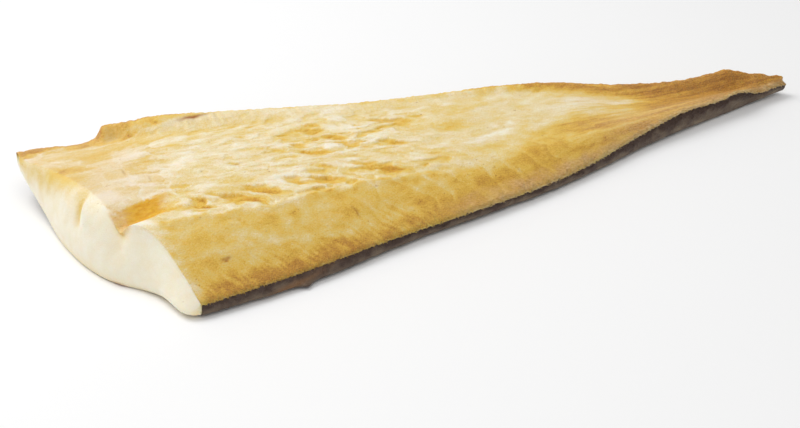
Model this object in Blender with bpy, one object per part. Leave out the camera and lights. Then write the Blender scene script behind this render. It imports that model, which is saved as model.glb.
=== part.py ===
"""A side of smoked cod, lying on its skin: the flesh, and the skin that wraps under it.

X runs from the cut head end (-X) to the tail (+X), -Y is the back of the fish and +Y its belly.
Sizes are in millimetres, and MM turns them into metres where a mesh is made.
"""

import bmesh
import bpy
import numpy as np

MM = 0.001

# The middle of the whole in the knots' own measure, which the meshes are moved by
MIDDLE_X = 2.5
MIDDLE_Y = -3.985

# Driving sizes
SKIN = 1.0
SKIN_GAP = 0.3
RIM_INSET = 1.7
RIM_WIDTH = 9.0

# The plan: each pair is a place along X and the Y of the rim there
BACK_Y = ((-222, -84), (-173, -81.5), (-120, -75), (-60, -63.5), (0, -53.5), (40, -45.5),
          (75, -35), (110, -22.5), (140, -14.5), (180, -7.5), (205, -3), (228, 0.5))
BELLY_Y = ((-222, 77), (-200, 76), (-184, 72.5), (-176, 76), (-150, 77), (-120, 75), (-70, 68),
           (-30, 60.5), (20, 54.5), (60, 51.5), (95, 43), (120, 31), (150, 20), (185, 15),
           (205, 11), (228, 7))

# Heights along X: the two rims, the loin's ridge and the sheet under the belly rim
BACK_Z = ((-222, 6.5), (-100, 7.5), (0, 7), (60, 7), (110, 9.5), (150, 12), (195, 11), (228, 8))
BELLY_Z = ((-222, 24.5), (-200, 24.5), (-184, 23.5), (-176, 30), (-150, 29.5), (-110, 26.5),
           (-40, 22), (20, 20), (80, 17.5), (120, 15.5), (150, 15.5), (175, 16), (190, 17.5),
           (205, 16.5), (228, 12))
RIDGE_Z = ((-222, 35), (-180, 34), (-138, 32), (-100, 29.5), (-60, 26.5), (0, 22), (40, 19),
           (80, 16), (120, 13.5), (150, 13), (190, 11.5), (228, 9.5))
BELLY_UNDER_Z = ((-222, 16), (-182, 15), (-175, 18), (-110, 17), (-40, 16.5), (20, 14), (80, 11),
                 (120, 8), (150, 6.5), (190, 4.5), (228, 3))

# The ridge's distance in from the back rim, and the heights of the belly's swell and rolled edge
RIDGE_IN = ((-222, 43), (-180, 43), (-138, 38), (-100, 36), (-60, 32), (0, 26), (40, 19),
            (80, 12), (120, 8), (150, 6), (228, 4))
SWELL = ((-222, 4), (-150, 3), (-60, 2), (40, 1.5), (100, 0), (150, -2), (228, -1))
ROLL = ((-222, 2), (-182, 2), (-175, 6), (-120, 4), (-60, 2), (40, 2), (90, 3), (130, 5),
        (180, 6), (228, 3))

# The skin beside the back rim: how far it bulges out, and tucks in to where it meets the floor
BULGE = ((-222, 3), (-150, 5.5), (-125, 6), (-100, 4.5), (0, 3.2), (60, 4), (120, 5), (150, 4),
         (190, 1), (228, 0))
TUCK = ((-222, 9), (-60, 9), (60, 7), (120, 4), (160, 2), (228, 1.5))

# Across the two ends: each pair is a share of the width from back to belly and the X of the end
CUT_TOP = ((0, -174), (0.1, -178), (0.26, -186), (0.32, -197), (0.38, -199), (0.5, -202),
           (0.7, -210), (0.88, -219.5), (1, -223))
CUT_UNDER = ((0, -174), (0.05, -180), (0.1, -184.5), (0.16, -187), (0.25, -191), (0.3, -196),
             (0.36, -204.5), (0.48, -213.5), (0.62, -218), (0.8, -219.5), (1, -223))
CUT_ROUND = ((0, 0), (0.3, 0.1), (0.42, 0.9), (0.7, 0.8), (1, 0.3))
TAIL_TOP = ((0, 228), (0.25, 222), (0.5, 227), (0.75, 220), (1, 222))
TAIL_UNDER = ((0, 228), (0.5, 224), (1, 222))

# The furrow that parts the two lobes at the head cut
FURROW_IN = 52.0
FURROW_DEPTH = 9.0
FURROW_HALF = 5.5
FURROW_START = -202.0
FURROW_END = -158.0

# The torn flakes of the middle and the low folds of the whole upper face
FLAKE_LONG = 34.0
FLAKE_WIDE = 9.0
FLAKE_HIGH = 2.0
FOLD_LONG = 60.0
FOLD_HIGH = 0.8
RAGGED_LONG = 7.0
RAGGED_OUT = 0.9

# The mesh: rows along the fish, columns across it
ROWS = 68
ROW_CROWDING = 1.3
SKIN_FIRST_ROW = 1
TOP_COLUMNS = 34
CUT_ROWS = 6
SIDE_COLUMNS = 8
FLOOR_COLUMNS = 4
LIFT_COLUMNS = 6
SIDE_SHARE = 0.16
FLOOR_SHARE = 0.62
LIFT_POWER = 2.0

# Linear base colours, roughness
FLESH_COLOUR = (0.70, 0.45, 0.16)
FLESH_ROUGH = 0.45
SKIN_COLOUR = (0.045, 0.033, 0.027)
SKIN_ROUGH = 0.5


def curve(knots, at):
    """A smooth line through (place, value) knots."""
    place, value = np.array(knots, float).T
    slope = np.gradient(value, place)
    at = np.asarray(at, float)
    i = np.clip(np.searchsorted(place, at) - 1, 0, len(place) - 2)
    span = place[i + 1] - place[i]
    t = np.clip((at - place[i]) / span, 0, 1)
    return (
        (2 * t**3 - 3 * t**2 + 1) * value[i]
        + (t**3 - 2 * t**2 + t) * span * slope[i]
        + (3 * t**2 - 2 * t**3) * value[i + 1]
        + (t**3 - t**2) * span * slope[i + 1]
    )


def step(low, high, at):
    """0 below low, 1 above high, and smooth between them."""
    t = np.clip((np.asarray(at, float) - low) / (high - low), 0, 1)
    return t * t * (3 - 2 * t)


def noise(x, y, seed):
    """Smooth noise between -1 and 1, with one swell to a unit."""
    i, j = np.floor(x), np.floor(y)

    def corner(a, b):
        mixed = np.sin((i + a) * 127.1 + (j + b) * 311.7 + seed * 74.7) * 43758.5453
        return 2 * (mixed - np.floor(mixed)) - 1

    s, t = step(0, 1, x - i), step(0, 1, y - j)
    near = corner(0, 0) * (1 - s) + corner(1, 0) * s
    far = corner(0, 1) * (1 - s) + corner(1, 1) * s
    return near * (1 - t) + far * t


def flakes(x, share):
    """Height of the torn flakes and low folds, for a share of the width from back to belly."""
    across = share * (curve(BELLY_Y, x) - curve(BACK_Y, x))
    sway = 4 * noise(x / FOLD_LONG, across / FOLD_LONG, 3)
    torn = 1 - 2 * np.abs(noise(x / FLAKE_LONG, (across + sway) / FLAKE_WIDE, 1))
    torn_here = step(0.3, 0.42, share) * (1 - step(0.86, 0.96, share))
    torn_here = torn_here * step(-205, -180, x) * (1 - step(20, 110, x))
    fold_here = step(0.03, 0.12, share) * (1 - step(0.9, 0.99, share)) * (1 - step(120, 200, x))
    fold = noise(x / FOLD_LONG, across / (FOLD_LONG / 3), 2)
    return FLAKE_HIGH / 2 * torn * torn_here + FOLD_HIGH * fold * fold_here


def top_face(x, share):
    """Points of the fillet's upper face, for a share of the width from back to belly."""
    back_y = curve(BACK_Y, x) + RIM_INSET
    ragged = RAGGED_OUT * noise(x / RAGGED_LONG, share * 0, 5) * step(0.85, 1, share)
    y = back_y + share * (curve(BELLY_Y, x) - back_y) + ragged
    ridge_in, ridge_z, roll = curve(RIDGE_IN, x), curve(RIDGE_Z, x), curve(ROLL, x)
    climb = np.clip((y - back_y) / ridge_in, 0, 1)
    loin = curve(BACK_Z, x) + (ridge_z - curve(BACK_Z, x)) * (0.4 * climb + 0.6 * np.sin(climb * np.pi / 2))
    across = np.clip((y - back_y - ridge_in) / (curve(BELLY_Y, x) - back_y - ridge_in), 0, 1)
    side = (curve(BELLY_Z, x) - roll - ridge_z) * across**1.3 + curve(SWELL, x) * np.sin(np.pi * across)
    side += roll * step(curve(BELLY_Y, x) - RIM_WIDTH, curve(BELLY_Y, x) - 1, y)
    furrow = FURROW_DEPTH * np.exp(-(((y - back_y - FURROW_IN) / FURROW_HALF) ** 2))
    furrow *= 1 - step(FURROW_START, FURROW_END, x)
    z = loin + side - furrow + flakes(x, share)
    return np.stack(np.broadcast_arrays(x, y, z), -1)


def under_face(x, share, inset):
    """Points under the fillet from its back rim (share 0) to its belly rim, inset from outside."""
    side = np.clip(share / SIDE_SHARE, 0, 1)
    floor_y = curve(BACK_Y, x) + curve(TUCK, x)
    flat = np.clip((share - SIDE_SHARE) / (1 - SIDE_SHARE), 0, 1)
    lift = np.clip((share - FLOOR_SHARE) / (1 - FLOOR_SHARE), 0, 1)
    y = floor_y - curve(TUCK, x) * (1 - side**3) - curve(BULGE, x) * np.sin(np.pi * side)
    y += flat * (curve(BELLY_Y, x) - floor_y)
    z = curve(BACK_Z, x) * (1 - np.sin(side * np.pi / 2)) + curve(BELLY_UNDER_Z, x) * lift**LIFT_POWER
    y += inset * np.cos(side * np.pi / 2)
    z += inset * np.sin(side * np.pi / 2)
    return np.stack(np.broadcast_arrays(x, y, z), -1)


def rows_along():
    """Shares of the way from the head cut to the tail, crowded at the cut."""
    return (np.linspace(0, 1, ROWS) ** ROW_CROWDING)[:, None]


def under_shares():
    """Shares of the width for the columns under the fillet."""
    return np.concatenate([
        np.linspace(0, SIDE_SHARE, SIDE_COLUMNS + 1)[:-1],
        np.linspace(SIDE_SHARE, FLOOR_SHARE, FLOOR_COLUMNS + 1)[:-1],
        np.linspace(FLOOR_SHARE, 1, LIFT_COLUMNS + 1),
    ])


def between_ends(head, tail):
    """X of every row and column, from the head cut's X to the tail's X of each column."""
    return head + rows_along() * (tail - head)


def add_row(bm, points):
    """Vertices for a row of points in millimetres."""
    return [bm.verts.new(((x - MIDDLE_X) * MM, (y - MIDDLE_Y) * MM, z * MM)) for x, y, z in points]


def add_tube(bm, rows):
    """Joins closed rows of vertices into a tube."""
    for near, far in zip(rows, rows[1:]):
        for i in range(len(near)):
            j = i - 1
            bm.faces.new((near[j], near[i], far[i], far[j]))


def zip_rows(bm, first, second):
    """Fills between two rows that run from back to belly, always taking the nearer next vertex."""
    i = j = 0
    while i < len(first) - 1 or j < len(second) - 1:
        take_first = j == len(second) - 1 or (
            i < len(first) - 1 and first[i + 1].co.y <= second[j + 1].co.y
        )
        if take_first:
            corners = (first[i], first[i + 1], second[j])
            i += 1
        else:
            corners = (first[i], second[j + 1], second[j])
            j += 1
        if len(set(corners)) == 3:
            bm.faces.new(corners)


def cut_rows(top, under):
    """Points of the head cut, one row at a time from its upper edge down to its lower edge."""
    across = np.linspace(0, 1, len(top))
    inward = np.maximum.accumulate(under[:, 1])
    low = np.stack([np.interp(top[:, 1], inward, under[:, i]) for i in range(3)], -1)
    rounding = curve(CUT_ROUND, across)
    for k in range(1, CUT_ROWS):
        down = k / CUT_ROWS
        forward = down + (np.sin(down * np.pi / 2) - down) * rounding
        fall = down + (1 - np.cos(down * np.pi / 2) - down) * rounding
        points = top.copy()
        points[:, 0] += (low[:, 0] - top[:, 0]) * forward
        points[:, 1] += (low[:, 1] - top[:, 1]) * down
        points[:, 2] += (low[:, 2] - top[:, 2]) * fall
        yield points[1:-1]


def make_flesh():
    """The flesh: upper face, underside, head cut and tail end in one closed solid."""
    shares, unders = np.linspace(0, 1, TOP_COLUMNS), under_shares()
    top = top_face(between_ends(curve(CUT_TOP, shares), curve(TAIL_TOP, shares)), shares)
    under_x = between_ends(curve(CUT_UNDER, unders), curve(TAIL_UNDER, unders))
    under = under_face(under_x, unders, SKIN + SKIN_GAP)[:, 1:]
    bm = bmesh.new()
    rows = [add_row(bm, list(a) + list(b[::-1])) for a, b in zip(top, under)]
    add_tube(bm, rows)
    upper = rows[0][:TOP_COLUMNS]
    for points in cut_rows(top[0], np.concatenate([top[0][:1], under[0]])):
        lower = [upper[0]] + add_row(bm, points) + [upper[-1]]
        zip_rows(bm, upper, lower)
        upper = lower
    zip_rows(bm, upper, rows[0][:1] + rows[0][:TOP_COLUMNS - 1:-1])
    zip_rows(bm, rows[-1][:TOP_COLUMNS], rows[-1][:1] + rows[-1][:TOP_COLUMNS - 1:-1])
    return bm


def make_skin():
    """The skin: a thin shell under the flesh that comes up to the back rim."""
    shares = under_shares()
    x = between_ends(curve(CUT_UNDER, shares), curve(TAIL_UNDER, shares))[SKIN_FIRST_ROW:]
    outer, inner = under_face(x, shares, 0), under_face(x, shares, SKIN)
    bm = bmesh.new()
    rows = [add_row(bm, list(a) + list(b[::-1])) for a, b in zip(inner, outer)]
    add_tube(bm, rows)
    for row in (rows[0], rows[-1]):
        for i in range(len(shares) - 1):
            bm.faces.new((row[i], row[i + 1], row[-2 - i], row[-1 - i]))
    return bm


def material(name, colour, rough):
    """A plain finish of one colour and roughness."""
    made = bpy.data.materials.new(name)
    made.use_nodes = True
    shader = made.node_tree.nodes["Principled BSDF"]
    shader.inputs["Base Color"].default_value = (*colour, 1)
    shader.inputs["Roughness"].default_value = rough
    shader.inputs["Metallic"].default_value = 0
    made.diffuse_color = (*colour, 1)
    return made


def finish(bm, name, look):
    """Turns a mesh in the making into a named object with its material."""
    bmesh.ops.recalc_face_normals(bm, faces=bm.faces)
    mesh = bpy.data.meshes.new(name)
    bm.to_mesh(mesh)
    bm.free()
    mesh.materials.append(look)
    bpy.context.scene.collection.objects.link(bpy.data.objects.new(name, mesh))


def main():
    for old in list(bpy.data.objects):
        bpy.data.objects.remove(old)
    finish(make_flesh(), "flesh", material("smoked_flesh", FLESH_COLOUR, FLESH_ROUGH))
    finish(make_skin(), "skin", material("dark_skin", SKIN_COLOUR, SKIN_ROUGH))


main()
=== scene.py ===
"""A side of smoked cod, dressed: fine flesh with torn flakes over its dark skin.

The fish lies along X, its tail at +X, its back at -Y and its belly at +Y. Sizes are in
millimetres in the fillet's own measure, and place() turns them into metres in the frame.
"""

import bpy
import numpy as np
from mathutils import Matrix, Vector


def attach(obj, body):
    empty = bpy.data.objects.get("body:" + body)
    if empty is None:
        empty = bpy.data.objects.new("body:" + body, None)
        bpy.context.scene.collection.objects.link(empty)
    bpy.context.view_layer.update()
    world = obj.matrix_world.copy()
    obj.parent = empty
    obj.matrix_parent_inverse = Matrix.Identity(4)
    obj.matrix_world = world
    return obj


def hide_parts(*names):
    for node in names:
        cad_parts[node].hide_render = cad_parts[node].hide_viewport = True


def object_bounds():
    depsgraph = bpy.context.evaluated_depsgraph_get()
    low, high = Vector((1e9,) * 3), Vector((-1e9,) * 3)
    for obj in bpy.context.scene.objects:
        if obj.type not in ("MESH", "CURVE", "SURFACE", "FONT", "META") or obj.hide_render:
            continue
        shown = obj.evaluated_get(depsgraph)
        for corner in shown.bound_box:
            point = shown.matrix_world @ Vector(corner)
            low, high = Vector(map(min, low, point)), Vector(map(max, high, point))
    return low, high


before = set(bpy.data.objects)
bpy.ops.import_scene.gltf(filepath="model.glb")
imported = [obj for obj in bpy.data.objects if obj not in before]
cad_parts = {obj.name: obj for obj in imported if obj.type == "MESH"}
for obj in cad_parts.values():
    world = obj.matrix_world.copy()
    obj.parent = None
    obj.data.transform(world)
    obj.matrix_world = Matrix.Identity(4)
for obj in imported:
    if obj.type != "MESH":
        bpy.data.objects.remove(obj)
FRAME_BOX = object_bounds()

MM = 0.001

# The middle of the whole in the fillet's own measure
MIDDLE_X = 2.5
MIDDLE_Y = -3.985

# The plan: each pair is a place along X and the Y of the rim there
BACK_Y = (
    (-222, -84), (-173, -81.5), (-120, -75), (-60, -63.5), (0, -53.5), (40, -45.5),
    (75, -35), (110, -22.5), (140, -14.5), (180, -7.5), (205, -3), (228, 0.5),
)
BELLY_Y = (
    (-222, 77), (-200, 76), (-186, 74.5), (-176, 76), (-150, 77), (-120, 75), (-70, 68), (-30, 60.5),
    (20, 54.5), (60, 51.5), (95, 43), (120, 31), (150, 20), (185, 15), (205, 11), (228, 7),
)

# Heights along X: the two rims, the loin's ridge, and the belly's underside at its rim
BACK_Z = (
    (-222, 6.5), (-100, 7.5), (0, 7), (60, 7), (110, 9.5), (150, 13), (168, 12.2), (178, 12.4),
    (187, 13.4), (195, 11.6), (203, 9), (209, 7.8), (218, 8.6), (228, 7.2),
)
BELLY_Z = (
    (-222, 24.9), (-208, 24.7), (-191, 23.4), (-186, 23.8), (-182, 24.4), (-179, 25.6), (-177, 28.6),
    (-175, 31), (-172, 31), (-166, 30.6), (-158, 30.3), (-150, 30.5), (-110, 27), (-40, 22.3),
    (20, 20.3), (80, 17.8), (120, 16.1), (150, 16.2), (163, 16.4), (176, 16.9), (186, 18.4),
    (190, 19.5), (196, 18.2), (205, 15.6), (213, 14), (221, 12), (228, 10.5),
)
RIDGE_Z = (
    (-222, 35), (-180, 34), (-138, 32), (-100, 29.5), (-60, 26.5), (0, 22), (40, 19),
    (80, 16), (120, 13.5), (150, 13), (190, 11.5), (228, 9.5),
)
BELLY_UNDER_Z = (
    (-222, 16), (-182, 15), (-175, 18), (-110, 17), (-40, 16.5), (20, 14), (80, 11),
    (120, 8), (150, 6.5), (190, 4.5), (228, 3),
)

# The ridge's distance in from the back rim, and how much of the climb to it is rounded
RIDGE_IN = (
    (-222, 43), (-180, 43), (-138, 38), (-100, 36), (-60, 32), (0, 26), (40, 19),
    (80, 12), (120, 8), (150, 6), (228, 4),
)
CLIMB_ROUND = 0.6

# From the ridge to the belly: how the height falls, the swell on the way, the height inside the belly's
# rolled edge, and how wide that edge is and how much wider behind the head
FALL_POWER = 1.3
SWELL = ((-222, 4), (-150, 3), (-60, 2), (40, 1.5), (100, 0), (150, -2), (228, -1))
SHEET_Z = (
    (-222, 22.6), (-175, 22.9), (-150, 23.8), (-120, 23), (-60, 21.3), (40, 17.3), (90, 14),
    (130, 10.6), (180, 10.3), (228, 8.5),
)
ROLL_WIDTH = 9.0
ROLL_WIDER = 9.0

# The skin beside the back rim: how far it bulges out, and tucks in to where it meets the floor
BULGE = (
    (-222, 2), (-150, 4), (-125, 5), (-100, 5), (-80, 4), (-50, 2.4), (0, 1.8), (60, 2.6),
    (120, 4), (150, 3.2), (190, 0.5), (228, 0),
)
TUCK = ((-222, 9), (-60, 9), (60, 7.5), (120, 4.5), (160, 3), (228, 3))

# Shares of the width where the side ends and where the belly lifts off, and how it and the tail lift
SIDE_SHARE = 0.16
FLOOR_SHARE = 0.62
LIFT_POWER = 2.0
TAIL_LIFT = 2.2

# How far behind the head cut's lowest line the skin starts, by the share of the width
SKIN_BACK = ((0, 0), (0.05, 5.5), (0.1, 9.5), (0.16, 11), (0.25, 7), (0.4, 3), (0.6, 2), (1, 2))

# Across the two ends: each pair is a share of the width from back to belly and the X of the end
CUT_TOP = (
    (0, -174), (0.1, -178.4), (0.2, -183.7), (0.25, -187.5), (0.32, -197), (0.38, -199), (0.5, -202),
    (0.7, -210), (0.88, -219.5), (1, -223),
)
CUT_UNDER = (
    (0, -174), (0.05, -180), (0.1, -184.5), (0.16, -187), (0.25, -191), (0.3, -196),
    (0.36, -204.5), (0.48, -213.5), (0.62, -218), (0.8, -219.5), (1, -223),
)
TAIL_TOP = ((0, 228), (0.25, 224), (0.5, 227), (0.75, 221), (1, 218))
TAIL_UNDER = ((0, 228), (0.5, 224), (1, 222))
TAIL_FRAY = 1.5

# The head cut: how rounded its upper edge is across the width, and where its lower corner turns
CUT_ROUND = ((0, 0), (0.3, 0.1), (0.42, 0.9), (0.7, 0.8), (1, 0.3))
CORNER_START = 0.72

# Folds of the head cut: share of the width, its shift on the way down, half width, where it is full,
# fades and is gone on the way down, its depth, and what it adds to the tone: painted shade in a crease,
# and painted light on the ridge whose depth is below 0
CUT_FOLDS = (
    (0.535, -0.03, 0.02, 0.15, 0.45, 0.8, 1.8, 0.3),
    (0.335, 0.03, 0.028, 0.1, 0.2, 0.8, 1.6, 0.08),
    (0.5, -0.03, 0.018, 0.01, 0.45, 0.8, -0.6, -0.12),
)

# The furrow that parts the two lobes at the head cut: how far in it lies at the X of FURROW_FROM, how
# much further for each millimetre along X, its depth, its half widths towards the back and the belly,
# and where it starts to fade and is gone
FURROW_IN = 52.0
FURROW_FROM = -200.0
FURROW_LEAN = 0.12
FURROW_DEPTH = 9.0
FURROW_NEAR = 6.0
FURROW_FAR = 9.0
FURROW_START = -202.0
FURROW_END = -158.0

# Distances in from the back rim: the loin's torn edge, the browned band's width, and the lateral line
LOIN_EDGE = (
    (-222, 41), (-186, 41), (-172, 39.5), (-155, 36.5), (-133, 33.5), (-92, 32), (-66, 29),
    (-25, 23), (15, 15), (45, 23), (71, 30), (107, 22), (150, 9), (228, 2),
)
TAN_BAND = (
    (-222, 3), (-160, 6), (-110, 7), (-30, 7), (35, 5.6), (75, 4.2), (95, 1.8), (125, 1.8), (228, 2),
)
LATERAL_LINE = ((-222, 20), (-154, 17), (-126, 15.5), (-88, 9), (-40, 8), (35, 9), (228, 2))

# The browned band inside the belly rim: its width, and what it adds to the smoke's tone
RIM_BAND = (
    (-222, 11), (-190, 10), (-178, 15), (-150, 10), (-120, 6), (-50, 5), (0, 6), (60, 9), (110, 9),
    (139, 12), (150, 16), (176, 24), (228, 22),
)
RIM_TONE = (
    (-222, 0.95), (-215, 0.85), (-207, 0.55), (-195, 0.36), (-184, 0.44), (-176, 0.34), (-162, 0.4),
    (-145, 0.38), (-120, 0.18), (0, 0.1), (35, 0.03), (60, 0.25), (80, 0.5), (150, 0.5), (228, 0.3),
)

# The tail's own place along X on the scale of the smoke's tones
TAIL_TONE = ((40, 0.66), (70, 0.76), (100, 0.81), (130, 0.86), (170, 0.92), (228, 0.94))

# Streaks of the tail: X and share of the width where each begins and ends, half width, strength
STREAKS = (
    (35, 0.62, 141, 0.68, 0.22, -0.6), (40, 0.2, 165, 0.1, 0.05, -0.3),
    (98, 0.33, 165, 0.24, 0.07, -0.34), (84, 0.46, 130, 0.42, 0.05, -0.3),
    (78, 0.08, 126, 0.07, 0.035, 0.14), (60, 0.34, 112, 0.28, 0.05, 0.08),
    (95, 0.12, 150, 0.14, 0.1, 0.08), (68, 0.86, 118, 0.8, 0.09, -0.16),
    (104, 0.54, 134, 0.6, 0.06, 0.16), (72, 0.02, 125, 0.02, 0.06, -0.16),
)

# Golden places of the upper face, pale where the strength is below 0, five of the pale ones painted
# glints: X, distance in, half length, half width, strength
PATCHES_AND_GLINTS = (
    (-211, 118, 7, 7, 0.3), (-198, 113, 9, 5, 0.14), (-189, 129, 10, 5, 0.17),
    (-189, 99, 7, 6, 0.1), (-204, 99, 6, 4, 0.12), (-182, 85, 4, 8, -0.16),
    (-205, 132, 9, 3, -0.12), (-160, 134, 22, 5, 0.1), (-165, 95, 20, 12, -0.08),
    (-140, 118, 12, 6, 0.1), (-120, 100, 12, 8, -0.06), (-110, 130, 22, 7, 0.07),
    (-135, 19, 3, 2, -0.14), (-142, 22, 2, 2, -0.1), (-117, 21, 3, 1.6, -0.12),
    (-42, 105, 26, 8, 0.08), (-14, 30, 16, 5, 0.07), (-60, 75, 22, 14, -0.05),
    (-112, 112, 16, 8, 0.06), (-62, 44, 10, 5, 0.08), (-28, 6, 17, 3.5, 0.07),
    (-20, 23, 16, 4, 0.06), (13, 28, 8, 4, 0.06), (48, 61, 12, 5, -0.06), (-205, 145, 18, 9, 0.05),
    (-198, 72, 10, 7, -0.13), (-186, 68, 9, 4, -0.1), (7, 63, 8, 5, 0.15), (33, 77, 12, 3.5, 0.12),
    # The first two below are painted glints
    (30, 52, 3, 2.5, -0.16), (41, 50, 3, 2.5, -0.16), (-100, 26, 10, 5, 0.07),
    (-43, 38, 8, 3, 0.08), (-74, 117, 9, 3, -0.1), (-60, 63, 9, 4, -0.08), (-182, 122, 8, 4, 0.08),
    # The three below are painted glints along a line
    (-7, 46, 8, 2.5, -0.1), (28, 41, 12, 2.5, -0.15), (58, 38, 12, 2.5, -0.1),
)
PATCH_AND_GLINT_STRENGTH = 1.3

# Flakes: length, width, weight of each size, and a number that sets their places
FLAKES = ((15, 10, 0.8, 41), (9, 6, 0.6, 51), (5, 3.4, 0.4, 61))

# The plates of colour behind the head cut: length, width, and a number that sets their places
HEAD_PLATES = (15, 11, 151)

# Hollows under the flakes' lips: X, distance in from the back rim, half length, half width, depth
HOLLOWS = (
    (-153, 52, 7, 4, 1.1), (-137, 48, 9, 6, 3.0), (-123, 52, 6, 5, 2.0), (-115, 46, 4, 4, 1.4),
    (-102, 51, 5, 5, 1.9), (-97, 45, 6, 3.5, 1.2), (-84, 43, 8, 7, 3.0), (-84, 85, 4, 5, 2.0),
    (-138, 120, 7, 4, 0.7), (-96, 136, 7, 3, 0.7), (-78, 72, 7, 5.5, 2.2), (-80, 54, 7, 4, 1.2),
    (-58, 47, 8, 5, 1.5), (-48, 36, 10, 4, 1.4), (-68, 97, 6, 6, 1.3), (-67, 105, 6, 4, 1.3),
    (-99, 122, 5, 3, 1.0), (-109, 110, 4, 4, 1.1), (-124, 79, 4, 3, 1.1), (-60, 83, 5, 8, 1.6),
    (-54, 71, 7, 5, 2.0), (-28, 91, 7, 5, 1.5), (-20, 86, 8, 6, 2.2), (-158, 102, 9, 6, 0.8),
    (-6, 85, 6, 4, 1.1), (-30, 59, 8, 4, 1.2), (-153, 44.5, 8, 2, 1.0), (-142, 29.5, 6, 1.5, 0.7),
    (-91, 34, 5, 2.5, 1.0), (5, 61, 8, 4, 0.4),
)

# Brown nicks and cracks: X, distance in, half length, half width, lean of X with the width, strength
CRACKS = (
    (-155, 13.5, 2.4, 0.7, 0.6, 1.2), (-78.5, 16, 0.6, 2.6, -0.35, 0.8),
    (25, 8, 0.4, 5, -0.8, 0.35), (-125, 145, 8, 1.3, 0.4, 1.2), (-181, 97, 0.5, 4, 0.1, 0.5),
    (-171, 84, 0.4, 3, 0.1, 0.4), (-124, 78, 3, 0.6, 0, 0.8),
)

# The loin's muscle bands: the length of each
BAND_LENGTH = 14.5

# Heights of the relief: of pale flakes, points under a lip, streaks and folds, as shares of a hollow's
# depth and a crack's strength, and of the loin's lip, bands, lines and fibres
PALE_UP = 0.25
UNDER_DOWN = 0.9
STREAK_UP = 0.08
TORN_STREAK_UP = 0.12
FOLD_UP = 0.7
HOLLOW_SHARE = 0.7
CRACK_SHARE = 0.2
LIP_UP = 0.5
BAND_UP = 0.3
LINE_DOWN = 0.1
FIBRE_UP = 0.2

# Noise: the length and width of its largest swells, a number that sets their places, and its layers.
# A size below 1 is a share of the whole width or height, and a noise of width 1 runs along one line.
NOISE = {
    "loin tongues": (9, 1, 12, 1), "small tongues": (3.5, 1, 13, 1), "flake bend": (50, 34, 11, 2),
    "flake jog": (11, 7, 21, 3), "flake streaks": (18, 5, 61, 3), "flake mottle": (12, 6, 138, 4),
    "hollow rims": (6, 5, 31, 4), "hollow shift": (1, 1, 34, 1), "crack bend": (3, 1, 32, 1),
    "crack rims": (2, 1, 33, 1), "folds": (60, 20, 71, 2), "band bend": (25, 14, 81, 2),
    "line mottle": (6, 6, 145, 2), "lip mottle": (7, 3, 143, 2), "fibres": (1.8, 13, 91, 2),
    "fibre bend": (9, 6, 95, 1), "tan edge": (12, 4, 92, 3), "tan cloud": (8, 5, 93, 2),
    "brown edge": (9, 5, 144, 3), "cloud": (30, 13, 141, 3), "spots": (10, 7, 142, 4),
    "tailward mottle": (6, 3.5, 137, 2), "furrow rims": (5, 3, 97, 3), "back rim": (4, 1, 101, 4),
    "back nicks": (1.2, 1, 105, 1), "belly rim": (7, 1, 111, 4), "belly notches": (2.5, 1, 115, 3),
    "belly edge": (7, 3, 112, 3), "belly edge tone": (6, 3, 113, 3), "rim band": (9, 4, 121, 3),
    "ribbons": (60, 1 / 9, 131, 3), "strands": (35, 1 / 24, 135, 3),
    "fine strands": (14, 1 / 40, 136, 2), "tail end": (1 / 9, 1, 171, 3),
    "cut bulge": (22, 16, 161, 2), "cut folds": (10, 14, 162, 1), "cut sag": (9, 12, 163, 2),
    "cut grain": (4, 3, 164, 3), "cut cream": (5, 7, 165, 3), "skin folds": (16, 1 / 1.5, 181, 3),
    "skin wrinkles": (4, 1 / 4, 191, 2), "skin edge": (2.5, 1, 201, 3),
}

# Numbers that scatter the places of the noise
SCATTER = (127.1, 311.7, 74.7)
SCATTER_SPREAD = 43758.5453

# The meshes' fineness
ROWS = 510
ROW_CROWDING = 1.15
TOP_COLUMNS = 160
CUT_ROWS = 26
CUT_CROWDING = 1.3
EDGE_BLUR = 6
EDGE_COLUMNS = 6
UNDER_COLUMNS = (5, 4, 6)
SKIN_COLUMNS = (26, 8, 10)

# How the pieces meet: the flesh stands in from the skin, its fringe hangs over the skin's edge
FLESH_INSET = 1.35
BARE_INSET = 0.3
NECK_SHARE = 0.004
FRINGE_OUT = 0.9
FRINGE_HANG = 0.8
EDGE_IN = 1.2
SKIN_THICK = 1.0
SKIN_DROP = 0.075

# The small lump on the skin and the brown patch beside it: X, share of the way down the side, and how
# far each reaches along X and down
LUMP = (-118, 0.56, 4, 0.17)
LUMP_OUT = 4.2
SKIN_PATCH = (-127, 0.34, 18, 0.14)
SKIN_PATCH_LEAN = 1 / 90

# Colours, each from 0 to 255, by their place on a scale from 0 to 1
SMOKE_TONES = (
    (0.0, (250, 242, 224)), (0.14, (245, 233, 204)), (0.3, (237, 217, 167)), (0.45, (232, 204, 126)),
    (0.6, (232, 193, 86)), (0.72, (220, 174, 68)), (0.84, (203, 150, 57)), (0.94, (183, 127, 45)),
    (1.0, (156, 105, 38)),
)
TAN_TONES = ((0.35, (204, 158, 98)), (0.65, (234, 196, 138)))
# ORANGE_SHADE_TONES: the orange of the hollows, flake lips and furrow, partly painted shade
ORANGE_SHADE_TONES = ((0.35, (222, 160, 12)), (0.65, (234, 186, 52)))
CRACK_TONE = (160, 88, 12)
SKIN_TONES = ((0.2, (64, 42, 29)), (0.5, (112, 95, 76)), (0.75, (150, 134, 110)))
SKIN_PATCH_TONE = (122, 86, 50)
FLOOR_TONE = (245, 245, 245)

# The smoke's tone on the underside, which the skin covers, and down the belly's edge
HIDDEN_TONE = 0.35
EDGE_TONES = (0.75, 0.4)

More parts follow.
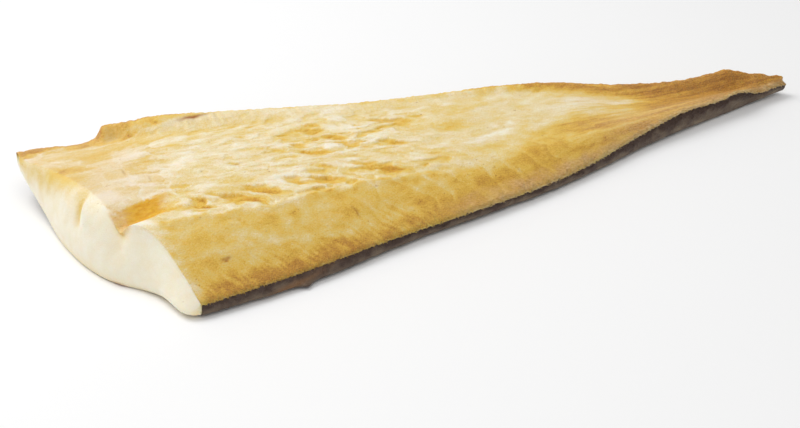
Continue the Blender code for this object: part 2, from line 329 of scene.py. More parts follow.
# How much the finest noises change the flesh's tone, and how much of them the head cut lacks
MOTTLE = 0.2
GRAIN = 0.24
SPECKLE = 0.5
CUT_CLEAN = 0.7

# The flesh's brown specks: the noise past which they show, how sharply they start, and their strength
# and that of the cracks
SPECK_FROM = 0.72
SPECK_SHARP = 9
SPECK_STRENGTH = 0.6
CRACK_STRENGTH = 0.85

# The angle past which an edge shows as a crease, in degrees
CREASE = 60

# The shreds: their inputs, the scale of the noise that bends them, the inputs' values for each fringe,
# in metres and radians, the least share of its size that a shred has, and its rings of faces
SHRED_INPUTS = {
    "Surface": "Geometry", "Where": "String", "Spacing": "Float", "Most": "Float",
    "Size": "Vector", "Sides": "Int", "Along": "Vector", "Turn": "Vector", "Bend": "Float",
    "Seed": "Int", "Finish": "Material",
}
SHRED_NOISE = 500.0
FLESH_SHREDS = {
    "Where": "fringe", "Spacing": 0.0006, "Most": 4e6, "Sides": 4, "Size": (0.0026, 0.0004, 0.0004),
    "Along": (0.3, -1.0, -0.6), "Turn": (0.3, 0.25, 0.7), "Bend": 0.0005, "Seed": 5,
}
SKIN_SHREDS = {
    "Where": "fringe", "Spacing": 0.0008, "Most": 4e6, "Sides": 4, "Size": (0.0024, 0.0005, 0.0005),
    "Along": (0.5, 0.2, 1.0), "Turn": (0.3, 0.2, 0.8), "Bend": 0.0005, "Seed": 7,
}
SMALLEST_SHRED = (0.35, 0.4, 0.6)
SHRED_RINGS = 4

# The camera, as the photograph was taken
VIEW_ROUND = -25.0
VIEW_DOWN = 30.0
VIEW_FAR = 900.0
VIEW_AT = (-56.0, -56.0, 15.0)
LENS = 78.205
SENSOR = 36.0

# The lamps: name, turn about Z, how far above the floor in degrees, distance, size in metres, watts
LAMPS = (("key", -140, 50, 1500, 1.0, 12), ("fill", -20, 60, 1500, 1.2, 4))
ROOM_LIGHT = 0.55
FLOOR_HALF = 4.0


# Numbers along curves, and noise

def curve(knots, at):
    """A smooth line through (place, value) knots."""
    place, value = np.array(knots, float).T
    slope = np.gradient(value, place)
    at = np.asarray(at, float)
    i = np.clip(np.searchsorted(place, at) - 1, 0, len(place) - 2)
    span = place[i + 1] - place[i]
    t = np.clip((at - place[i]) / span, 0, 1)
    return (
        (2 * t**3 - 3 * t**2 + 1) * value[i]
        + (t**3 - 2 * t**2 + t) * span * slope[i]
        + (3 * t**2 - 2 * t**3) * value[i + 1]
        + (t**3 - t**2) * span * slope[i + 1]
    )


def step(low, high, at):
    """0 below low, 1 above high, and smooth between them."""
    t = np.clip((np.asarray(at, float) - low) / (high - low), 0, 1)
    return t * t * (3 - 2 * t)


def fade(low, high, at):
    """1 below low, 0 above high, and smooth between them."""
    return 1 - step(low, high, at)


def between(start, full, fading, gone, at):
    """1 from full to fading, and 0 before start and past gone."""
    return step(start, full, at) * fade(fading, gone, at)


def bell(at, middle, half):
    """1 at the middle, 0.37 at half away from it, and almost 0 at twice that."""
    return np.exp(-(((at - middle) / half) ** 2))


def chance(i, j, seed):
    """A repeatable number from 0 to 1 for a cell of a grid."""
    mixed = np.sin(i * SCATTER[0] + j * SCATTER[1] + seed * SCATTER[2]) * SCATTER_SPREAD
    return mixed - np.floor(mixed)


def swell(x, y, seed):
    """Smooth noise between about -1 and 1, with one swell to a unit."""
    i, j = np.floor(x), np.floor(y)
    u, v = x - i, y - j

    def corner(a, b):
        turn = 2 * np.pi * chance(i + a, j + b, seed)
        return np.cos(turn) * (u - a) + np.sin(turn) * (v - b)

    s, t = u**3 * (u * (6 * u - 15) + 10), v**3 * (v * (6 * v - 15) + 10)
    near = corner(0, 0) * (1 - s) + corner(1, 0) * s
    far = corner(0, 1) * (1 - s) + corner(1, 1) * s
    return 1.5 * (near * (1 - t) + far * t)


def noise(kind, x, y=0.0):
    """Noise of one kind, in layers that are each twice as fine and half as strong as the last."""
    long, wide, seed, layers = NOISE[kind]
    x, y = np.broadcast_arrays(x / long, y / wide)
    return sum(swell(x * 2**k, y * 2**k, seed + k) / 2**k for k in range(layers))


def plates(x, y, seed):
    """Flakes one unit across: each point's flake number, place across it and nearness to its edge."""
    i, j = np.floor(x), np.floor(y)
    first = np.full(x.shape, 9.0)
    second, number, across = first.copy(), np.zeros(x.shape), np.zeros(x.shape)
    for a in (-1, 0, 1):
        for b in (-1, 0, 1):
            du = x - (i + a) - 0.15 - 0.7 * chance(i + a, j + b, seed)
            dv = y - (j + b) - 0.15 - 0.7 * chance(i + a, j + b, seed + 1)
            away = np.hypot(du, dv)
            nearer = away < first
            second = np.where(nearer, first, np.minimum(second, away))
            number = np.where(nearer, chance(i + a, j + b, seed + 2), number)
            across = np.where(nearer, dv, across)
            first = np.minimum(first, away)
    return number, across, second - first


# What lies where on the upper face

def loin_edge(x):
    """The distance in from the back rim of the loin's torn upper edge, with its tongues."""
    return curve(LOIN_EDGE, x) + 2.2 * noise("loin tongues", x) + noise("small tongues", x)


def hollow_depth(x, inward):
    """Depth of the hollows: each drops steeply under its far lip and rises slowly towards the back."""
    rims = 1.6 * noise("hollow rims", x, inward)
    depth = 0
    for at_x, at_in, long, half, deep in HOLLOWS:
        lean = 0.5 * fade(60, 150, at_in) * (x - at_x)
        across = (inward - at_in + lean + rims) / half
        under_lip = fade(0.15, 0.5, across) * np.exp(-np.maximum(0, -across) ** 1.3)
        middle = at_x + 0.5 * long * noise("hollow shift", across + at_x)
        depth = depth + deep * bell(x, middle, long) * under_lip
    return depth


def crack_depth(x, inward):
    """How near a point is to one of the nicks and cracks, from 0 to the crack's strength."""
    near = 0
    for at_x, at_in, long, half, lean, strength in CRACKS:
        across = inward - at_in
        along = x - at_x - lean * across + 0.5 * noise("crack bend", across, at_x)
        across = across + 0.3 * noise("crack rims", x)
        near = np.maximum(near, strength * bell(along, 0, long) * bell(across, 0, half))
    return near


def flake_layers(x, inward):
    """How far points lie under the lip of the flake beyond, how pale they are, and fine streaks."""
    bent = inward + 0.45 * (x + 60) * fade(50, 150, inward) + 7 * noise("flake bend", x, inward)
    jog = noise("flake jog", x, inward)
    under, pale = 0, 0
    for long, wide, weight, seed in FLAKES:
        number, across, edge = plates(x / long + 0.3 * jog, bent / wide + 0.25 * jog, seed)
        raised = weight * step(0.35, 0.65, number)
        under = under + raised * step(-0.35, 0.45, across) * step(0, 0.1, edge)
        pale = pale + weight * fade(0.1, 0.4, number)
    return under, pale, noise("flake streaks", x, bent)


def loin_bands(x, inward):
    """The loin's muscle bands: the place across each from 0 to 1, and how pale its leading line is."""
    along = (x + 0.8 * inward + 5 * noise("band bend", x, inward)) / BAND_LENGTH
    across = along - np.floor(along)
    clear = 0.4 + 0.6 * between(-85, -60, 35, 70, x)
    return across, clear * (bell(across, 0.08, 0.1) + bell(across, 1.08, 0.1))


def furrow_places(x, inward):
    """The furrow's share of its depth, the same with ragged rims, and how golden each point is, partly
    as painted shade.
    """
    across = inward - FURROW_IN - FURROW_LEAN * (x - FURROW_FROM)
    furrow = bell(across, 0, np.where(across > 0, FURROW_FAR, FURROW_NEAR))
    reach = furrow + 0.14 * noise("furrow rims", x, inward)
    gold = step(0.22, 0.42, reach) * fade(-178, -162, x + 9 * (reach - 0.7))
    return furrow * fade(FURROW_START, FURROW_END, x), reach, gold * (0.4 + 0.75 * bell(x, -180, 11))


def tan_share(x, inward, share):
    """How tan the flesh is: in a band inside the back rim, and on the tail's near side."""
    band = fade(0.4, 1.4, inward / curve(TAN_BAND, x) + 0.35 * noise("tan edge", x, inward))
    band = band * (0.65 + 0.35 * noise("tan cloud", x, inward))
    tail = step(60, 120, x) * (1 - 0.7 * step(175, 200, x))
    return band + (1 - band) * tail * (0.15 + 0.4 * fade(0.25, 0.5, share))


class Places:
    """Points of the upper face by their X and share of the width, and what lies at each of them."""

    def __init__(self, x, share):
        rim_y = curve(BACK_Y, x)
        self.x, self.share = x, share
        self.width = curve(BELLY_Y, x) - rim_y
        self.ragged = noise("back rim", x)
        back_y = rim_y - FRINGE_OUT + 0.3 * self.ragged
        self.belly_y = rim_y + self.width - EDGE_IN + noise("belly rim", x)
        self.y = back_y + share * (self.belly_y - back_y)
        self.inward = inward = self.y - rim_y
        self.from_belly = self.width - inward
        self.behind_cut = x - curve(CUT_TOP, share)
        self.cloud = noise("cloud", x, inward)
        self.spots = noise("spots", x, inward)
        self.ribbons = noise("ribbons", x, share)
        bend = 0.9 * noise("fibre bend", x, inward)
        self.fibre = noise("fibres", x + 1.2 * inward + bend, inward - 0.6 * x)
        self.tan = tan_share(x, inward, share)
        self.hollow = hollow_depth(x, inward)
        self.crack = crack_depth(x, inward)
        self.furrow, self.furrow_reach, self.furrow_gold_shade = furrow_places(x, inward)
        self.band, self.line = loin_bands(x, inward)
        self.find_loin()
        self.find_flakes()

    def find_loin(self):
        """The loin, 1 on it and 0 beyond its torn edge and on the tail, and the lip at that edge."""
        x = self.x
        self.beyond = self.inward - loin_edge(x)
        self.lip = bell(self.beyond, -1, 1.6) * between(-190, -175, -40, 0, x)
        blend = 1 + 5 * step(-50, 20, x)
        self.loin = fade(-1, 2, self.beyond / blend) * fade(90, 150, x)

    def find_flakes(self):
        """How torn the face is, 0 on the loin, the edges and the tail, and the flakes where it is."""
        x, beyond = self.x, self.beyond
        towards_tail = (1 - 0.6 * step(-40, 30, x)) * fade(40, 100, x)
        inside = step(-1, 3, beyond) * fade(0.89, 0.98, self.share) * step(-197, -160, x)
        self.torn = inside * towards_tail
        self.calm = 1 - 0.5 * step(-40, 0, x)
        deepest = np.maximum(bell(beyond, 7, 13), bell(x, -50, 60) * bell(self.inward, 80, 26))
        under, self.pale, self.streak = flake_layers(x, self.inward)
        self.under = under * self.torn * (0.45 + 0.55 * deepest) * self.calm


# The fillet's form

def broad_height(p):
    """Height of the upper face without its relief: from the back rim over the ridge to the belly."""
    x = p.x
    lines = (BACK_Z, RIDGE_IN, RIDGE_Z, SHEET_Z)
    rim_z, ridge_in, ridge_z, sheet_z = (curve(line, x) for line in lines)
    climb = np.clip(p.inward / ridge_in, 0, 1)
    rounded = np.sin(climb * np.pi / 2)
    z = rim_z + (ridge_z - rim_z) * ((1 - CLIMB_ROUND) * climb + CLIMB_ROUND * rounded)
    across = np.clip((p.inward - ridge_in) / (p.width - ridge_in), 0, 1)
    z += (sheet_z - ridge_z) * across**FALL_POWER + curve(SWELL, x) * np.sin(np.pi * across)
    roll = ROLL_WIDTH + ROLL_WIDER * between(-174, -150, -40, 40, x)
    edge_up = curve(BELLY_Z, x) - sheet_z + 0.4 * noise("belly notches", x)
    z += edge_up * step(p.belly_y - roll, p.belly_y - 1, p.y)
    hang = FRINGE_HANG * (1 + 1.2 * p.ragged + 0.6 * noise("back nicks", x))
    return z - hang * fade(-1.2, 0.8, p.inward)


def relief(p):
    """Height of the flakes, streaks, folds, hollows, cracks and the loin's edge, bands and fibres."""
    x, beyond = p.x, p.beyond
    height = PALE_UP * p.pale * p.torn * p.calm - UNDER_DOWN * p.under
    height += (STREAK_UP + TORN_STREAK_UP * p.torn) * p.streak
    height += FOLD_UP * noise("folds", x, p.inward) * between(0.03, 0.12, 0.9, 0.99, p.share)
    height -= HOLLOW_SHARE * p.hollow + CRACK_SHARE * p.crack
    ledge = step(0, 2.5, beyond) * np.exp(-np.maximum(0, beyond) / 7) * p.torn
    height += LIP_UP * p.lip - ledge * (1 - 0.7 * step(-40, 10, x))
    bands = BAND_UP * np.sin(np.pi * p.band) * step(-100, -60, x) - LINE_DOWN * p.line
    height += p.loin * bands + FIBRE_UP * p.fibre * p.tan
    return height * between(0, 0.02, 0.97, 1, p.share)


def upper_face(x, share):
    """Points of the upper face, and the numbers from 0 to 1 that its colours follow."""
    p = Places(x, share)
    z = broad_height(p) + relief(p) - FURROW_DEPTH * p.furrow
    # Browner tan behind the head's far part, where less light falls: painted shade
    dim_shade = fade(-180, -140, x) * step(42, 60, p.inward) * fade(0.05, 0.3, p.furrow_reach)
    # Orange in the hollows and under the flakes' lips: partly painted shade, partly the flesh's deeper
    # gold
    gold = 0.3 * step(0.5, 1.6, p.hollow) + 0.12 * step(0.6, 1.2, p.under)
    tones = {
        "smoke_and_painted_light": smoke_and_painted_light_tone(p),
        "recess_shade": gold + p.furrow_gold_shade,
        "tan": p.tan * (0.9 + 0.2 * p.fibre) * (0.1 + 0.9 * step(-40, 5, x)) + 0.28 * dim_shade,
        "crack": p.crack,
        "fringe": fade(0, 2, p.inward) + 0.25 * p.tan * fade(2, 6, p.inward) * step(-90, -40, x),
    }
    return np.stack([x, p.y, z], -1), tones


def skin_head(share):
    """X at which the skin starts behind the head cut."""
    return curve(CUT_UNDER, share) + curve(SKIN_BACK, share)


def flesh_inset(x, share):
    """How far the flesh stands in from the outside: inside the skin, and hardly where it is bare."""
    return BARE_INSET + (FLESH_INSET - BARE_INSET) * step(-0.2, 1, x - skin_head(share))


def under_face(x, share, inset):
    """Points under the fillet from its back rim (share 0) to its belly rim, inset from outside."""
    side = np.clip(share / SIDE_SHARE, 0, 1)
    floor_y = curve(BACK_Y, x) + curve(TUCK, x)
    flat = np.clip((share - SIDE_SHARE) / (1 - SIDE_SHARE), 0, 1)
    lift = np.clip((share - FLOOR_SHARE) / (1 - FLOOR_SHARE), 0, 1)
    y = floor_y - curve(TUCK, x) * (1 - side**3) - curve(BULGE, x) * np.sin(np.pi * side)
    y += flat * (curve(BELLY_Y, x) - floor_y)
    z = curve(BACK_Z, x) * (1 - np.sin(side * np.pi / 2)) + curve(BELLY_UNDER_Z, x) * lift**LIFT_POWER
    z = z + TAIL_LIFT * step(185, 228, x) * (1 - z / curve(BACK_Z, x)).clip(0, 1)
    y += inset * np.cos(side * np.pi / 2)
    z += inset * np.sin(side * np.pi / 2)
    return np.stack(np.broadcast_arrays(x, y, z), -1)


def shares_under(columns):
    """Shares of the width for the columns of the side, the floor and the lifted belly."""
    side, floor, lift = columns
    return np.concatenate([
        np.linspace(0, SIDE_SHARE, side + 1)[:-1],
        np.linspace(SIDE_SHARE, FLOOR_SHARE, floor + 1)[:-1],
        np.linspace(FLOOR_SHARE, 1, lift + 1),
    ])


def between_ends(head, tail):
    """X of every row and column, from the head cut's X to the tail's X of each column."""
    return head + (np.linspace(0, 1, ROWS) ** ROW_CROWDING)[:, None] * (tail - head)


# How smoked the upper face looks, from 0, white, over cream and gold to 1, brown, with painted shade
# and glints added

def flake_tone(p):
    """The torn middle: cream, golden under the lips and in the hollows as partly painted shade, pale on
    raised flakes.
    """
    x, inward = p.x, p.inward
    tone = 0.27 + 0.07 * step(-60, 0, x) + 0.1 * p.cloud + 0.04 * p.spots
    tone -= 0.04 * p.streak * (1 - p.torn)
    # Golden under the lips, in the hollows and in the furrow: partly painted shade
    shade = p.under + step(0.2, 1.3, p.hollow) + 0.8 * p.furrow_gold_shade
    tone += 0.3 * shade - p.torn * (0.08 * p.pale + 0.07 * p.streak)
    tone += 0.07 * (1 - p.loin) * noise("flake mottle", x, inward)
    tone += 0.04 * noise("tailward mottle", x, inward) * step(-40, 20, x)
    # Paler along the loin's torn lip: partly a painted highlight on its edge, partly paler flesh
    return tone - 0.2 * p.lip * (0.4 + noise("lip mottle", x, inward))


def loin_tone(p):
    """The loin: more golden than the flakes, with a change across each band and pale lines."""
    x, inward = p.x, p.inward
    gold = 0.24 + 0.03 * step(-105, -70, x) + 0.07 * step(-20, 40, x) + 0.02 * fade(-165, -100, x)
    gold += 0.05 * fade(5, 35, inward) - 0.02 * p.cloud + 0.09 * p.spots
    gold += (0.08 + 0.03 * step(-40, 0, x)) * (p.band - 0.5) * step(-100, -60, x)
    gold -= 0.1 * p.line * (0.6 + noise("line mottle", x, inward))
    return p.loin * gold - 0.1 * bell(inward, curve(LATERAL_LINE, x), 1.5) * fade(-60, -20, x)


def back_edge_tone(p):
    """The browned band inside the back rim, with its fibres and its dark edge."""
    x = p.x
    depth = p.inward / curve(TAN_BAND, x) + 0.2 * noise("brown edge", x, p.inward)
    browned = 0.07 + 0.26 * between(-190, -140, -95, -55, x) + 0.06 * p.fibre
    fibres = 0.13 * p.fibre * fade(1, 3, depth) * fade(-60, -20, x)
    return fibres + fade(0.3, 1.5, depth) * browned + 0.15 * fade(0, 1.6, p.inward)


def plate_tone(p):
    """The lighter and darker plates behind the head cut, with pale lines between them."""
    long, wide, seed = HEAD_PLATES
    number, _, edge = plates(p.x / long + 0.25 * p.cloud, p.inward / wide + 0.3 * p.spots, seed)
    head = fade(-165, -130, p.x) * step(45, 60, p.inward)
    return head * (0.3 * (number - 0.5) - 0.08 * fade(0.02, 0.14, edge))


def patch_and_glint_tone(p):
    """The golden and pale patches, and the painted glints among the pale ones."""
    x, inward = p.x + 4 * p.spots, p.inward + 2 * p.cloud
    return PATCH_AND_GLINT_STRENGTH * sum(
        strength * bell(x, at_x, long) * bell(inward, at_in, half)
        for at_x, at_in, long, half, strength in PATCHES_AND_GLINTS
    )


def cut_edge_tone(p):
    """The pale edge along the head cut: beside the furrow, on the near lobe, and on the far one."""
    beside = 0.34 * bell(p.share, 0.28, 0.06) * fade(2, 10, p.behind_cut + 2 * p.spots)
    near = 0.12 * fade(0.2, 0.3, p.share) * fade(0.5, 5, p.behind_cut + p.spots)
    far = 0.2 * bell(p.share, 0.45, 0.07) * fade(2, 18, p.behind_cut + 4 * p.spots)
    return -(beside + near + far)


def belly_rim_tone(p):
    """How far a point is in the browned band of the belly rim, and what it, its dark line and the
    painted shade on its step add.
    """
    x, from_belly = p.x, p.from_belly
    blur = 0.3 * step(60, 140, x)
    uneven = (0.14 + 0.16 * fade(-150, -110, x)) * noise("rim band", x, p.inward)
    rim = fade(0.55 - blur, 1.05 + blur, from_belly / curve(RIM_BAND, x) + uneven + blur * p.ribbons)
    line = 0.1 + 0.3 * fade(-135, -105, x) + 0.1 * step(0, 40, x)
    line = line * fade(0.5, 3.5, from_belly + 1.5 * p.spots)
    line += (0.2 * fade(-190, -180, x) + 0.12 * step(20, 60, x)) * fade(1, 4, from_belly)
    # Brown on the end face of the belly rim's step behind the head: painted shade
    line += 0.35 * bell(x, -177.5, 2) * fade(3, 8, from_belly)
    return rim, rim * (curve(RIM_TONE, x) + 0.08 * p.spots + 0.06 * p.cloud) + line


def tail_tone(p, rim):
    """The tail: amber, with strands along it and a few streaks, which stop at the belly's band."""
    x, share = p.x, p.share
    tone = curve(TAIL_TONE, x) + 0.08 * p.ribbons + 0.04 * p.cloud + 0.03 * p.spots
    strands = 0.14 * noise("strands", x, share) + 0.13 * noise("fine strands", x, share)
    tone += strands * (1 - 0.5 * step(130, 180, x))
    across = share + 0.03 * p.ribbons + 0.015 * p.spots
    for from_x, from_share, to_x, to_share, half, strength in STREAKS:
        along = (x - from_x) / (to_x - from_x)
        middle = from_share + (to_share - from_share) * along
        wedge = half * (1.3 - 0.7 * along.clip(0, 1))
        ends = between(-0.1, 0.2, 0.75, 1.1, along)
        tone += strength * ends * (1 - rim) * bell(across, middle, wedge)
    return tone


def smoke_and_painted_light_tone(p):
    """How smoked the upper face looks, with its painted shade and glints, and no more than each stretch
    of it may be.
    """
    x, share = p.x, p.share
    rim, rim_tone = belly_rim_tone(p)
    tone = flake_tone(p) + loin_tone(p) + back_edge_tone(p) + plate_tone(p) + patch_and_glint_tone(p)
    tone += cut_edge_tone(p) + rim_tone - (0.03 + 0.1 * p.ribbons) * step(40, 110, x)
    tail = step(45, 100, x + 40 * (0.45 - share) + 10 * p.ribbons)
    tone += (tail_tone(p, rim) - tone) * tail
    # Darker on the far lobe's shoulder behind the cut, whose top the lamps light strongly: painted
    # shade
    tone += 0.05 * step(0.45, 0.6, share) * fade(4, 16, p.behind_cut)
    most = 0.86 - 0.1 * between(-50, -20, 40, 90, x) + 0.1 * step(90, 150, x)
    return np.clip(tone, 0, most)


# Meshes

def place(points):
    """Points in metres in the frame."""
    return (np.asarray(points, float) - (MIDDLE_X, MIDDLE_Y, 0)) * MM


def tube_faces(rows, ring):
    """Quads of a tube of closed rings of points."""
    i, j = np.meshgrid(np.arange(rows - 1), np.arange(ring), indexing="ij")
    a, b = i * ring + (j - 1) % ring, i * ring + j
    return np.stack([a, b, b + ring, a + ring], -1).reshape(-1, 4).tolist()


def zip_rows(points, first, second):
    """Triangles between two rows that run from back to belly, always taking the nearer next point."""
    faces = []
    i = j = 0
    while i < len(first) - 1 or j < len(second) - 1:
        if j == len(second) - 1 or (
            i < len(first) - 1 and points[first[i + 1]][1] <= points[second[j + 1]][1]
        ):
            corners = (first[i], first[i + 1], second[j])
            i += 1
        else:
            corners = (first[i], second[j + 1], second[j])
            j += 1
        if len(set(corners)) == 3:
            faces.append(corners)
    return faces


def paired_rows(first, second):
    """Quads between two rows of as many points, and triangles where the rows share an end."""
    corners = zip(first[:-1], first[1:], second[1:], second[:-1])
    return [tuple(dict.fromkeys(four)) for four in corners]


def blurred(numbers, reach):
    """The numbers along a row, each averaged with its neighbours."""
    padded = np.pad(numbers, reach, mode="edge")
    return np.convolve(padded, np.ones(2 * reach + 1) / (2 * reach + 1), mode="valid")


def add_object(name, data):
    """A new object in the scene."""
    made = bpy.data.objects.new(name, data)
    bpy.context.scene.collection.objects.link(made)
    return made


def smooth(mesh):
    """Shades all faces smooth."""
    mesh.polygons.foreach_set("use_smooth", [True] * len(mesh.polygons))


def mesh_object(name, points, faces, values, material):
    """A smooth mesh in the frame's metres, with one number per point for each named value."""
    low, high = np.array(FRAME_BOX)
    mesh = bpy.data.meshes.new(name)
    mesh.from_pydata(np.clip(place(points), low, high).tolist(), [], faces)
    for key, numbers in values.items():
        attribute = mesh.attributes.new(key, "FLOAT", "POINT")
        attribute.data.foreach_set("value", np.asarray(numbers, "f"))
    smooth(mesh)
    mesh.set_sharp_from_angle(angle=np.radians(CREASE))
    mesh.materials.append(material)
    return add_object(name, mesh)


def belly_edge(top_x, under_x, top_y, top_z):
    """Points of the belly's edge from the upper face down to the underside, slightly rounded."""
    down = (np.arange(EDGE_COLUMNS) + 1) / (EDGE_COLUMNS + 1)
    x = top_x[:, None] + down * (under_x - top_x)[:, None]
    low_z = curve(BELLY_UNDER_Z, under_x) + FLESH_INSET
    z = top_z[:, None] + down * (low_z - top_z)[:, None]
    full = curve(BELLY_Y, x) - 0.2 - 0.6 * (1 + noise("belly edge", x, z))
    y = top_y[:, None] + (full - top_y[:, None]) * np.sin(down * np.pi / 2)
    return np.stack([x, y, z], -1)


def cut_row(top, low, shares, uneven, down):
    """Points of the head cut at one share of the way down, before its bulge and folds."""
    rounding = curve(CUT_ROUND, shares)
    forward = down + (np.sin(down * np.pi / 2) - down) * rounding
    fall = down + (1 - np.cos(down * np.pi / 2) - down) * rounding
    points = top + (low - top) * np.stack([forward, down + 0 * fall, fall], -1)
    smoothed = between(0, 0.2, 0.8, 1, down) * bell(shares, 0.6, 0.35)
    return points - uneven * smoothed[:, None]


def cut_face(top, low, shares, tones):
    """Rows of points of the head cut from its upper edge down, and the numbers for their colours."""
    far_lobe = step(0.4, 0.5, shares)
    soft_tone = blurred(tones["smoke_and_painted_light"], EDGE_BLUR)
    uneven = top - np.stack([blurred(column, EDGE_BLUR) for column in top.T], -1)
    uneven[:, 1] = 0
    for k in range(1, CUT_ROWS + 1):
        down = 1 - (1 - k / CUT_ROWS) ** CUT_CROWDING
        points = cut_row(top, low, shares, uneven, down)
        y, z = points[:, 1], points[:, 2]
        sag = down + 0.14 * noise("cut sag", y, z)
        depth, tint = 0, 0.06
        # Each fold's tone paints shade into its crease, and light where the fold stands out as a ridge
        for at, shift, half, full, fading, gone, deep, adds in CUT_FOLDS:
            fold = bell(shares, at + shift * down, half) * step(0, full, down) * fade(fading, gone, sag)
            depth, tint = depth + deep * fold, tint + adds * fold
        depth = depth - 0.7 * noise("cut folds", y, z) * far_lobe * fade(0.1, 0.75, down)
        bulge = 1.1 + 0.5 * noise("cut bulge", y, z) + 0.12 * noise("cut grain", y, z)
        bulge = bulge * np.sin(np.pi * down) * step(0, 0.08, shares) * (shares < 0.97)
        turn = np.clip((down - CORNER_START) / (1 - CORNER_START), 0, 1)
        points[:, 0] -= curve(SKIN_BACK, shares) * (down - 1 + np.sqrt(1 - turn**2))
        points[:, 0] -= bulge - depth * (k < CUT_ROWS)
        cream = far_lobe * fade(0.15, 0.7, sag) + 0.35 * noise("cut cream", y, z)
        notch = bell(shares, 0.335, 0.03) * fade(0.02, 0.3, sag)
        tint = tint + 0.14 * cream + 0.24 * step(0.6, 0.8, shares) * fade(0.3, 0.9, sag)
        # Golden at the top of the notch, partly painted shade, and darker towards the foot by the
        # floor: painted shade
        tint = tint + 0.3 * notch + 0.16 * step(0.85, 1, down)
        row = {
            "smoke_and_painted_light": tint + (soft_tone - tint) * far_lobe * fade(0, 0.4, sag),
            "recess_shade": tones["recess_shade"] * fade(0, 0.12, down),
            "tan": 0 * shares,
            "crack": bell(shares, 0.36, 0.02) * step(0.93, 1, down),
            "fringe": 0 * shares,
            "cut": step(0, 0.1, down) * (1 - 0.7 * far_lobe * fade(0.2, 0.7, sag)),
        }
        yield points[1:-1], {key: value[1:-1] for key, value in row.items()}


def make_flesh(material):
    """The flesh: torn upper face, belly edge, underside, head cut and tail end in one closed mesh."""
    shares = np.linspace(0, 1, TOP_COLUMNS)
    unders = np.insert(shares_under(UNDER_COLUMNS)[1:], 0, NECK_SHARE)
    frayed = TAIL_FRAY * np.abs(noise("tail end", shares))
    top_x = between_ends(curve(CUT_TOP, shares), curve(TAIL_TOP, shares) - frayed)
    under_x = between_ends(skin_head(unders), curve(TAIL_UNDER, unders) - 1)
    top, tones = upper_face(top_x, np.broadcast_to(shares, top_x.shape))
    under = under_face(under_x, unders, flesh_inset(under_x, unders))
    edge = belly_edge(top_x[:, -1], under_x[:, -1], top[:, -1, 1], top[:, -1, 2])
    ring = TOP_COLUMNS + EDGE_COLUMNS + len(unders)
    points = np.concatenate([top, edge, under[:, ::-1]], 1).reshape(-1, 3)
    faces = tube_faces(ROWS, ring)
    hidden = np.full(under_x.shape, HIDDEN_TONE)
    browned = 0.1 * noise("belly edge tone", edge[..., 0], edge[..., 2])
    browned = browned + np.linspace(*EDGE_TONES, EDGE_COLUMNS)
    values = {}
    for key, tone in tones.items():
        own = 1 if key == "smoke_and_painted_light" else 0
        values[key] = np.concatenate([tone, own * browned, own * hidden], 1).ravel()
    values["cut"] = np.zeros(len(points))
    low = under_face(skin_head(shares)[:, None] - 0.3, shares[:, None], BARE_INSET)[:, 0]
    low[0], low[-1] = top[0][0], top[0][-1]
    upper = list(range(TOP_COLUMNS))
    for row, tints in cut_face(top[0], low, shares, {key: tone[0] for key, tone in tones.items()}):
        lower = [upper[0], *range(len(points), len(points) + len(row)), upper[-1]]
        points = np.concatenate([points, row])
        values = {key: np.concatenate([values[key], tints[key]]) for key in values}
        faces += paired_rows(upper, lower)
        upper = lower
    under_ring = [0, *range(ring - 1, TOP_COLUMNS - 2, -1)]
    faces += zip_rows(points, upper, under_ring)
    last = (ROWS - 1) * ring
    upper = list(range(last, last + TOP_COLUMNS))
    faces += [face[::-1] for face in zip_rows(points, upper, [last + i for i in under_ring])]
    return mesh_object("flesh_dressed", points, faces, values, material)


def make_skin(material):
    """The skin: a wrinkled shell under the flesh that comes up to the back rim."""
    shares = shares_under(SKIN_COLUMNS)
    x = between_ends(skin_head(shares), curve(TAIL_UNDER, shares))
    side = np.clip(shares / SIDE_SHARE, 0, 1)
    drop = np.clip(SKIN_DROP + 0.04 * noise("skin edge", x[:, :1]), 0.02, 1)
    low_shares = shares + SIDE_SHARE * drop * (1 - side)
    inner = under_face(x, low_shares, SKIN_THICK)
    outer = under_face(x, low_shares, 0)
    fold = noise("skin folds", x, side) + 0.4 * noise("skin wrinkles", x, side)
    at_x, at_side, long, half = LUMP
    lump = bell(x, at_x, long) * bell(side, at_side, half)
    out = 0.5 * fold * np.sin(np.pi * side) ** 0.7 * (side < 1) + LUMP_OUT * lump
    outer[..., 1] -= out * np.cos(side * np.pi / 2) ** 0.5
    ring = 2 * len(shares)
    points = np.concatenate([inner, outer[:, ::-1]], 1).reshape(-1, 3)
    faces = tube_faces(ROWS, ring)
    for first, turn in ((0, 1), ((ROWS - 1) * ring, -1)):
        for i in range(len(shares) - 1):
            corners = (i, i + 1, ring - 2 - i, ring - 1 - i)
            faces.append(tuple(first + corner for corner in corners)[::turn])
    at_x, at_side, long, half = SKIN_PATCH
    middle = at_side - SKIN_PATCH_LEAN * (x - at_x) + 0.06 * fold
    patch = 1.4 * bell(x, at_x, long) * bell(side, middle, half) * (1 - lump)
    patch = np.concatenate([patch, patch[:, ::-1]], 1).ravel()
    lump = np.concatenate([0 * lump, lump[:, ::-1]], 1).ravel()
    height = np.tile(np.concatenate([1 - side, (1 - side)[::-1]]), ROWS)
    values = {"height": np.maximum(height, lump), "patch": patch, "fringe": step(0.75, 0.9, height)}
    return mesh_object("skin_dressed", points, faces, values, material)


# Materials

